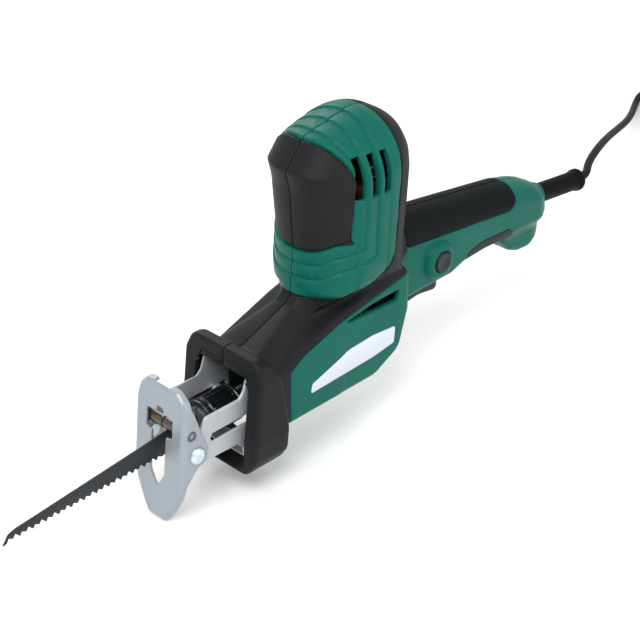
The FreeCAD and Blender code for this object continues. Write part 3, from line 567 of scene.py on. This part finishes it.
def form(x, y, z):
    """The whole moulded form without the collar."""
    body = both(polygon(y, z, BODY_SIDE), np.abs(x) - BODY_HALF, 5)
    nose = both(polygon(y, z, NOSE_SIDE), polygon(x, z, NOSE_FRONT), 4)
    half = HANDLE_HALF - 6 * ramp(80 - z, 12) * ramp(y - 185, 20) - 9 * np.clip((y - 218) / 21, 0, 1) ** 2
    handle = both(polygon(y, z, HANDLE_SIDE), np.abs(x) - half, 5 + 12 * ramp(z - 98, 40))
    handle = handle + 0.7 * ramp(y - 226 + 0.25 * (z - 90), 0.5)
    whole = either(body, nose, 3)
    whole = either(whole, tower(x, y, z), 7)
    along, lift = on_sleeve(y, z)
    boss = both(np.hypot(x, lift) - SLEEVE_BOSS_RADIUS, slab(along, -15, SLEEVE_BOSS_END), 2.0)
    return either(whole, either(handle, boss, 2), 6)


def pad_region(x, y, z):
    """The black pad on the tower's front, which ends at the first band edge."""
    return band_edge(x, y, z, BAND_EDGES[0], pad_rise(y))


def skin_region(x, y, z):
    """The black over-moulding of the nose and the back of the tower."""
    return without(without(polygon(y, z, SKIN_SIDE), polygon(y, z, HOOD_SIDE)), polygon(y, z, GRIP_SIDE))


REGIONS = {
    "nose_skin": skin_region,
    "tower_pad": pad_region,
    "handle_grip": lambda x, y, z: polygon(y, z, GRIP_SIDE),
    "finger_strip": lambda x, y, z: polygon(y, z, STRIP_SIDE),
}


def holes(x, y, z):
    """What is cut right through the shell."""
    cuts = []
    for start in SLOT_STARTS:
        cuts.append(np.maximum(slab(y, start, start + SLOT_WIDTH), slab(z, *SLOT_HEIGHTS)))
    cuts.append(np.maximum(np.abs(x) - TRIGGER_SLOT_HALF, np.maximum(slab(y, 83, 123), slab(z, 50, 90))))
    along, lift = on_sleeve(y, z)
    cuts.append(np.maximum(np.hypot(x, lift) - SLEEVE_HOLE_RADIUS, slab(along, -6, 30)))
    opening = np.maximum(np.abs(x) - OPENING_HALF, slab(z, 19.5, 84))
    cuts.append(np.maximum(opening, slab(y, -95, -51)))
    total = cuts[0]
    for cut in cuts[1:]:
        total = np.minimum(total, cut)
    return total


def button_recess(x, y, z):
    """The round well that the button moves in."""
    away = np.hypot(y - BUTTON_PLACE[0], z - BUTTON_PLACE[1])
    return np.maximum(away - RECESS_RADIUS, RECESS_FLOOR - x)


def button_boss(x, y, z):
    """Round boss on the left of the handle, flaring towards the shell."""
    away = np.hypot(y - BUTTON_PLACE[0], z - BUTTON_PLACE[1])
    boss = both(away - 12.5 - 0.35 * (24 - x), slab(x, 0, 24.4), 3)
    return without(boss, button_recess(x, y, z), 0.5)


def screw_depth(along):
    """How far from the middle plane the floor of a screw's recess is."""
    return SCREW_DEPTH_HANDLE if along > 70 else SCREW_DEPTH_BODY


def shell(side):
    """One green half of the housing."""
    def field(x, y, z):
        outer = form(x, y, z)
        vent = np.maximum(polygon(y, z, VENT_SIDE), 20 - np.abs(x))
        if side > 0:
            outer = np.minimum(outer, button_boss(x, y, z))
            outer = without(outer, button_recess(x, y, z), 0.4)
        hollow = form(x, y, z) + WALL
        whole = without(outer, hollow)
        for region in REGIONS.values():
            whole = without(whole, np.maximum(region(x, y, z) - GAP, -outer - SKIN - 0.5), 0.3)
        fins = np.maximum(np.maximum(np.abs((y - 4) % 5.0 - 2.5) - 0.9, y - 23), slab(np.abs(x), 24, 28))
        whole = without(whole, np.maximum(vent, -fins), 0.3)
        whole = without(whole, holes(x, y, z), 0.4)
        if side < 0:
            for along, height in SCREW_PLACES:
                recess = np.maximum(np.hypot(y - along, z - height) - 4.2, x + screw_depth(along))
                whole = without(whole, recess, 0.4)
        return both(whole, GAP / 2 - side * x, 0.3)
    return field


def skin(name):
    """The left half of a rubber skin, let into the housing and with rounded edges."""
    region = REGIONS[name]

    def field(x, y, z):
        outer = form(x, y, z)
        layer = both(outer, region(x, y, z) + GAP, EDGE)
        layer = np.maximum(layer, -(outer + SKIN - 0.1))
        layer = without(layer, holes(x, y, z), 0.4)
        return both(layer, GAP / 2 - x, EDGE / 2)
    return field


def make_shells(step):
    keep = 0.5
    left = solid("housing_left_shell", shell(1), (0, -62, 38), (39.5, 248, 229), step, keep)
    place(left, "tool", "shell_green", "housing_left")
    right = solid("housing_right_shell", shell(-1), (-39.5, -62, 38), (0, 248, 229), step, keep)
    place(right, "tool", "shell_green", "housing_right")
    boxes = {
        "nose_skin": ((0, -74, 38), (39.5, 78, 229)),
        "tower_pad": ((0, -20, 140), (38, 17, 220)),
        "handle_grip": ((0, 73, 100), (20, 194, 140)),
        "finger_strip": ((0, 132, 72), (20, 192, 93)),
    }
    for name, (low, high) in boxes.items():
        slot = "strip_grey" if name == "finger_strip" else "rubber_black"
        piece = solid(name + "_left_skin", skin(name), low, high, step, keep)
        place(piece, "tool", slot, name + "_left")
        twin = place(mirrored(piece, name + "_right_skin"), "tool", slot, name + "_right")
        if name == "handle_grip":
            piece.data.materials[0] = MATERIALS["grip_black"]
            twin.data.materials[0] = MATERIALS["grip_black"]


COLLAR_SIDE = rounded([
    (-72.5, 98), (-65, 98.5), (-54.5, 80, 25), (-49.5, 46, 20), (-48.5, 15.5), (-81, 15.5), (-80, 40, 60),
], 2.5)
COLLAR_FRONT = rounded([
    (25, 15.5, 8), (33, 27, 12), (35, 42, 14), (35, 85, 8), (31, 94, 6), (25, 97.6, 6), (0, 98.3, 30),
    (-25, 97.6, 6), (-31, 94, 6), (-35, 85, 8), (-35, 42, 14), (-33, 27, 12), (-25, 15.5, 8),
], 8)
OPENING = rounded([
    (OPENING_HALF, 22), (OPENING_HALF, 78, 3), (15, 84, 5), (-15, 84, 5), (-OPENING_HALF, 78, 3),
    (-OPENING_HALF, 22), (-16, 19.5, 3), (16, 19.5, 3),
], 3)


def collar(x, y, z):
    """Left half of the rubber collar round the blade opening."""
    block = both(polygon(y, z, COLLAR_SIDE), polygon(x, z, COLLAR_FRONT), 3.0)
    block = without(block, polygon(x, z, OPENING), 1.2)
    block = without(block, form(x, y, z) - 0.05, 0.5)
    return both(block, GAP / 2 - x, EDGE / 2)


def make_collar(step):
    piece = solid("collar_left_rubber", collar, (0, -83, 13), (40, -46, 100), step, 0.5)
    place(piece, "tool", "rubber_black", "collar_left")
    place(mirrored(piece, "collar_right_rubber"), "tool", "rubber_black", "collar_right")


# ------------------------------------------------------------------ blade end

PIVOT = (-116.5, 49.5)
GUIDE_PIN = (-120.4, 65.3)
PLUNGER_LEVEL = 55.0
PIVOT_HOLE = 2.6
SHOE_HALF = 22.5
SHEET = 2.0
SHOE_REACH = 12.3
SHOE_TILT = math.radians(6.5)
SHOE_FACE = PIVOT[0] - SHOE_REACH
# the upright shoe's lowest height, so that the leaning shoe's tip touches the floor
SHOE_TIP = PIVOT[1] - (PIVOT[1] + (SHOE_REACH - SHEET) * math.sin(SHOE_TILT)) / math.cos(SHOE_TILT)
ARM_OUTER = 20.2
ARM_GAUGE = 1.8
BLADE_GAUGE = 1.25
TOOTH_COUNT = 25
TOOTH_PITCH = 4.65
TOOTH_LEVEL = 42.9


def both_sides(points):
    """An outline given for x >= 0, closed on the other side of the middle plane."""
    return points + [(-point[0], *point[1:]) for point in reversed(points) if point[0] > 0]


SHOE_FRONT = rounded(both_sides([
    (8, SHOE_TIP + 0.1, 4), (14, 8, 6), (20, 20, 10), (22.5, 32, 14), (22.5, 78, 14), (20, 87, 6),
    (14, 92.5, 4), (8, 93.5, 4),
]), 3)
SHOE_SIDE = rounded([
    (SHOE_FACE, -5), (SHOE_FACE + 5.5, 1), (SHOE_FACE + 6, 30, 8), (SHOE_FACE + 13, 40, 6),
    (SHOE_FACE + 20, 43, 5), (SHOE_FACE + 21, 52, 8), (SHOE_FACE + 16, 62, 8), (SHOE_FACE + 7, 82, 8),
    (SHOE_FACE + 5, 100), (SHOE_FACE, 100),
], 2)
SHOE_WINDOW = rounded(both_sides([
    (0.6, 23, 0.5), (6.2, 32, 3), (6.2, 59, 1), (11.8, 60, 1.5), (11.8, 73, 1.5), (3, 74, 1), (3, 77.6, 1),
]), 1)
ARM_SIDE = rounded([
    (-124, 46, 4), (-119, 42, 4), (-112.5, 39.5, 4), (-81, 38, 3), (-77, 34, 3), (-75.5, 25.5, 2),
    (-62, 25.5, 2), (-62, 47, 2), (-52, 47, 2), (-52, 72, 2), (-57, 72, 2), (-62, 83, 3),
    (-72.5, 83.5, 3), (-75.5, 75, 2),
    (-79, 71.3, 3), (-107.5, 71.3, 4), (-112, 62, 4), (-122, 56, 4),
], 2)
ARM_SLOT = rounded([(-103.5, 54.3), (-102, 51.6), (-55, 51.6), (-55, 57.3), (-102, 57.3)], 1)


def upright(y, z):
    """Where a place on the leaning shoe is when the shoe is drawn upright about its pivot."""
    along = y - PIVOT[0]
    height = z - PIVOT[1]
    cos, sin = math.cos(SHOE_TILT), math.sin(SHOE_TILT)
    return PIVOT[0] + along * cos - height * sin, PIVOT[1] + along * sin + height * cos


def pivot_hole(y, z):
    return np.hypot(y - PIVOT[0], z - PIVOT[1]) - PIVOT_HOLE


def shoe(x, y, z):
    """Pressed shoe: a windowed plate with a flange down each side, all of one sheet."""
    along, height = upright(y, z)
    outline = polygon(x, height, SHOE_FRONT)
    sheet = both(both(outline, SHOE_FACE - along, 4), polygon(along, height, SHOE_SIDE), 0.4)
    behind = SHOE_FACE + SHEET - along
    sheet = without(sheet, both(outline + SHEET, behind, 2.5), 0.4)
    middle = np.maximum(np.maximum(np.abs(x) - 7, behind), outline)
    sheet = without(sheet, middle, 0.4)
    window = np.maximum(polygon(x, height, SHOE_WINDOW), along - SHOE_FACE - 9)
    sheet = without(sheet, window, 0.5)
    return without(sheet, pivot_hole(y, z), 0.3)


def bracket(x, y, z):
    """Two slotted arms joined by a web under the clamp."""
    arms = both(polygon(y, z, ARM_SIDE), np.abs(x) - ARM_OUTER, 1.6)
    inner = both(np.abs(x) - (ARM_OUTER - ARM_GAUGE), 27.3 - z, 0.8)
    arms = without(arms, inner, 0.4)
    arms = without(arms, polygon(y, z, ARM_SLOT), 0.4)
    return without(arms, pivot_hole(y, z), 0.2)


def clamp_sleeve(x, y, z):
    """Turning sleeve of the blade clamp, with finger flutes between two bands."""
    away = np.hypot(x, z - PLUNGER_LEVEL)
    angle = np.arctan2(z - PLUNGER_LEVEL, x)
    flutes = 0.6 * (0.5 + 0.5 * np.cos(18 * angle)) * ramp(y + 88, 1.5) * ramp(-72 - y, 1.5)
    rings = 0.6 * (1 - ramp(np.abs(y + 91) - 0.6, 0.6)) + 0.6 * (1 - ramp(np.abs(y + 70) - 0.6, 0.6))
    whole = both(away - 12.5 + flutes + rings, slab(y, -95.5, -67), 1.0)
    bore = np.where(y < -77, away - 9.15, away - 10.9)
    return without(whole, bore, 0.4)


def plate(name, outline, low, high, tips=(), lean=0.15, edge=0.12):
    """A flat piece with the given side outline between two levels of x; tips lean to either side in turn."""
    count = len(outline)
    shift = [0.0] * count
    for number, tip in enumerate(tips):
        shift[tip] = lean if number % 2 else -lean
    places = []
    for level in (low, high):
        places += [((level + move) * MM, y * MM, z * MM) for (y, z), move in zip(outline, shift)]
    faces = [tuple(reversed(range(count))), tuple(range(count, 2 * count))]
    faces += [(here, (here + 1) % count, (here + 1) % count + count, here + count) for here in range(count)]
    area = sum(y0 * z1 - y1 * z0 for (y0, z0), (y1, z1) in zip(outline, outline[1:] + outline[:1]))
    if area < 0:
        faces = [tuple(reversed(face)) for face in faces]
    mesh = bpy.data.meshes.new(name)
    mesh.from_pydata(places, [], faces)
    obj = bpy.data.objects.new(name, mesh)
    bpy.context.scene.collection.objects.link(obj)
    apply_modifier(obj, "TRIANGULATE")
    apply_modifier(obj, "BEVEL", width=edge * MM, segments=2, limit_method="ANGLE",
                   angle_limit=math.radians(40))
    obj.data.shade_smooth()
    return obj


def blade_outline():
    """Side outline of the blade and the places of its tooth tips in it."""
    points = [(-83, 49.5), (-83, 58), (-104, 58), (-107, 59.3), (-121.5, 59.3), (-236, 48.6)]
    points += [(-241, 46.8), (-245, 41.2), (-242.5, 42.0)]
    tips = []
    along = -242.5
    for number in range(TOOTH_COUNT):
        deep = 2.6 if number % 2 else 1.7
        points.append((along + TOOTH_PITCH * 0.35, TOOTH_LEVEL + deep))
        along += TOOTH_PITCH
        tips.append(len(points))
        points.append((along, TOOTH_LEVEL - (0.5 if number % 2 else 0.0)))
    points += [(-118, 45.5), (-107, 45), (-104, 49.5)]
    return points, tips


def joined(name, *objects):
    """One object out of several meshes."""
    places = []
    faces = []
    for obj in objects:
        start = len(places)
        places += [tuple(vertex.co) for vertex in obj.data.vertices]
        faces += [tuple(start + index for index in face.vertices) for face in obj.data.polygons]
        bpy.data.objects.remove(obj)
    mesh = bpy.data.meshes.new(name)
    mesh.from_pydata(places, [], faces)
    mesh.shade_smooth()
    whole = bpy.data.objects.new(name, mesh)
    bpy.context.scene.collection.objects.link(whole)
    edges = whole.modifiers.new("edges", "EDGE_SPLIT")
    edges.split_angle = math.radians(50)
    return whole


def make_blade_end(step):
    piece = solid("pressed_shoe", shoe, (-23, -141, 0), (23, -106, 97), step, 0.6)
    place(piece, "shoe", SLOTS["shoe"], "shoe")
    piece = solid("slotted_bracket", bracket, (-21, -125, 25), (21, -51, 84), step, 0.6)
    place(piece, "bracket", SLOTS["shoe_bracket"], "shoe_bracket")
    piece = solid("fluted_sleeve", clamp_sleeve, (-13, -96, 42), (13, -66, 68), step, 0.7)
    place(piece, "clamp_ring", SLOTS["clamp_sleeve"], "clamp_sleeve")
    outline, tips = blade_outline()
    blade = plate("toothed_blade", outline, -BLADE_GAUGE / 2, BLADE_GAUGE / 2, tips)
    place(blade, "plunger_unit", SLOTS["saw_blade"], "saw_blade")
    inside = SHOE_HALF - SHEET
    profile = [
        (-SHOE_HALF - 0.5, 1.8), (-SHOE_HALF - 0.5, 3.2), (-SHOE_HALF - 0.1, 3.5), (-SHOE_HALF - 0.1, 3.0),
        (-inside, 3.0), (-inside, 4.6), (-inside + 1.5, 4.6), (-inside + 1.5, 4.0), (-1.2, 4.0),
        (-1.2, 3.2), (1.2, 3.2), (1.2, 4.0), (inside, 4.0), (inside, 3.0), (SHOE_HALF + 0.1, 3.0),
        (SHOE_HALF + 0.1, 3.5), (SHOE_HALF + 0.5, 3.2), (SHOE_HALF + 0.5, 1.8), (SHOE_HALF - 0.8, 1.6),
    ]
    pin = lathe("guide_roller", profile, (0, *GUIDE_PIN), (1, 0, 0))
    place(pin, "shoe", SLOTS["guide_pin"], "guide_pin")
    pin.data.materials[0] = MATERIALS["guide_bronze"]
    rivets = []
    for side in (1, -1):
        profile = [
            (16.9, 4.0), (18.3, 4.0), (18.3, 2.5), (22.7, 2.5), (22.7, 5.75), (23.4, 5.6), (24.2, 4.6),
            (24.6, 3.0), (24.7, 1.2),
        ]
        rivets.append(lathe("rivet", profile, (0, *PIVOT), (side, 0, 0), 48))
    rivets = joined("domed_rivets", *rivets)
    place(rivets, "bracket", SLOTS["pivot_rivets"], "pivot_rivets")


# ------------------------------------------------------------------ controls, labels and cord end

TRIGGER_SIDE = rounded([
    (84, 65, 3), (88, 62.5, 3), (103, 64, 20), (119, 61.6, 3), (122.4, 63.2, 3), (122.6, 84), (84, 84),
], 1)
LABEL_SIDE = rounded([
    (-28, 56.5), (-26.5, 63), (8, 73.5, 10), (30, 74.5, 10), (51, 72.4), (50, 60.4), (30, 58, 10),
], 1.5)
PLUG_START = Vector(LEAD_ROUTE[-1])
PLUG_RUN = (Vector(LEAD_ROUTE[-1][:2]) - Vector(LEAD_ROUTE[-2][:2])).normalized()
PLUG_SIDE = rounded([
    (0, 5, 2), (16, 8, 10), (24, 17.5, 6), (42, 18.5, 3), (42, -18.5, 3), (24, -17.5, 6), (16, -8, 10),
    (0, -5, 2),
], 2)


def trigger(x, y, z):
    return both(polygon(y, z, TRIGGER_SIDE), np.abs(x) - TRIGGER_HALF, 2.5)


def plug(x, y, z):
    """Flat-sided plug body with a round face and ribs for the fingers."""
    along = (x - PLUG_START.x) * PLUG_RUN.x + (y - PLUG_START.y) * PLUG_RUN.y
    across = (y - PLUG_START.y) * PLUG_RUN.x - (x - PLUG_START.x) * PLUG_RUN.y
    height = z - PLUG_START.z
    grip = both(polygon(along, across, PLUG_SIDE), np.abs(height) - 6 - 7 * ramp(along - 16, 20), 3.5)
    ribs = 0.7 * (0.5 + 0.5 * np.cos(along * 2 * math.pi / 4)) * ramp(along - 24, 2) * ramp(39 - along, 2)
    face = both(np.hypot(across, height) - 16.4, slab(along, 40, 48), 1.5)
    return either(grip + ribs, face, 1.0)


def make_controls(step):
    piece = solid("rounded_trigger", trigger, (-8, 83, 62), (8, 124, 85), step, 0.5)
    place(piece, "trigger", SLOTS["trigger"], "trigger")
    profile = [
        (15.5, 3), (20.3, 3), (20.3, 7.25), (25.0, 7.25), (25.6, 6.9), (25.8, 6.3), (25.7, 5.6),
        (25.1, 4.2), (24.8, 2.2), (24.7, 0.5),
    ]
    button = lathe("dished_button", profile, (0, *BUTTON_PLACE), (1, 0, 0))
    place(button, "lock_button", SLOTS["lock_button"], "lock_button")
    for side, word in ((1, "left"), (-1, "right")):
        low, high = sorted((side * (BODY_HALF - 0.1), side * (BODY_HALF + 0.45)))
        label = plate("plain_label_" + word, LABEL_SIDE, low, high, edge=0.18)
        place(label, "tool", SLOTS["label_" + word], "label_" + word)
    heads = []
    for along, height in SCREW_PLACES:
        depth = screw_depth(along)
        profile = [
            (0.0, 1.7), (depth - 0.4, 1.7), (depth - 0.4, 3.6), (depth + 0.9, 3.4), (depth + 1.6, 2.4),
            (depth + 1.7, 1.3), (depth + 0.9, 1.1),
        ]
        heads.append(lathe("screw", profile, (0, along, height), (-1, 0, 0), 32))
    place(joined("screw_heads", *heads), "tool", SLOTS["housing_screws"], "housing_screws")


def make_cord_end(step):
    profile = [
        (0.0, 7.4), (12.5, 7.4), (50.0, 7.3), (52.5, 7.6), (53.6, 8.3), (54.6, 8.5), (56.8, 8.5),
        (57.7, 8.0), (SLEEVE_LENGTH, 7.3), (SLEEVE_LENGTH, 3.9), (56.5, 3.6),
    ]
    sleeve = lathe("smooth_sleeve", profile, tuple(SLEEVE_BASE), tuple(SLEEVE_AXIS))
    place(sleeve, "tool", SLOTS["cable_sleeve"], "cable_sleeve")
    low = (PLUG_START.x - 22, PLUG_START.y - 54, 2)
    high = (PLUG_START.x + 42, PLUG_START.y + 12, 31)
    piece = solid("ribbed_plug", plug, low, high, step, 0.5)
    place(piece, "tool", SLOTS["plug_body"], "plug_body")
    run = Vector((PLUG_RUN.x, PLUG_RUN.y, 0))
    side_on = Vector((-PLUG_RUN.y, PLUG_RUN.x, 0))
    pins = []
    for side in (9.5, -9.5):
        profile = [(46, 2.0), (58, 2.0), (58, 2.4), (65.6, 2.4), (66.5, 2.0), (67.0, 1.2)]
        pins.append(lathe("pin", profile, tuple(PLUG_START + side_on * side), tuple(run), 32))
    place(joined("round_pins", *pins), "tool", SLOTS["plug_pins"], "plug_pins")


# ------------------------------------------------------------------ stage and light

# half the floor's side, in metres
FLOOR_HALF = 6.0


def make_stage():
    mesh = bpy.data.meshes.new("floor")
    corners = [(x * FLOOR_HALF, y * FLOOR_HALF, 0) for x, y in ((-1, -1), (1, -1), (1, 1), (-1, 1))]
    mesh.from_pydata(corners, [], [(0, 1, 2, 3)])
    floor = bpy.data.objects.new("floor", mesh)
    floor.location.z = -0.0005
    bpy.context.scene.collection.objects.link(floor)
    white = surface("floor_white", linear(244, 244, 244), 0.8, mottle=0.01, mottle_size=900)
    floor.data.materials.append(white)


def area_light(name, location, target, size, power):
    data = bpy.data.lights.new(name, "AREA")
    data.shape = "DISK"
    data.size = size
    data.energy = power
    lamp = bpy.data.objects.new(name, data)
    lamp.location = location
    lamp.rotation_euler = (Vector(target) - Vector(location)).to_track_quat("-Z", "Y").to_euler()
    bpy.context.scene.collection.objects.link(lamp)


def make_light():
    world = bpy.data.worlds.new("studio")
    bpy.context.scene.world = world
    world.use_nodes = True
    world.node_tree.nodes["Background"].inputs["Color"].default_value = (1, 1, 1, 1)
    world.node_tree.nodes["Background"].inputs["Strength"].default_value = 0.8
    middle = (0.0, 0.0, 0.1)
    area_light("key", (0.5, -0.9, 1.5), middle, 1.0, 20)
    area_light("rim", (-1.2, 0.5, 1.1), middle, 1.0, 10)
    area_light("fill", (1.4, 0.3, 0.7), middle, 1.2, 6)
    bpy.context.scene.view_settings.view_transform = "Standard"


# ------------------------------------------------------------------ assembly

def dress_nodes():
    """Give every CAD node that still shows the finish of its slot."""
    for name, node in NODES.items():
        node.data.materials.clear()
        node.data.materials.append(MATERIALS[SLOTS[name]])


STEP = 0.8
dress_nodes()
make_shells(STEP)
make_collar(STEP * 0.75)
make_blade_end(STEP * 0.6)
make_controls(STEP * 0.6)
make_cord_end(STEP)
make_stage()
make_light()
cord.data.materials.append(MATERIALS["cord_rubber"])

bpy.context.view_layer.update()
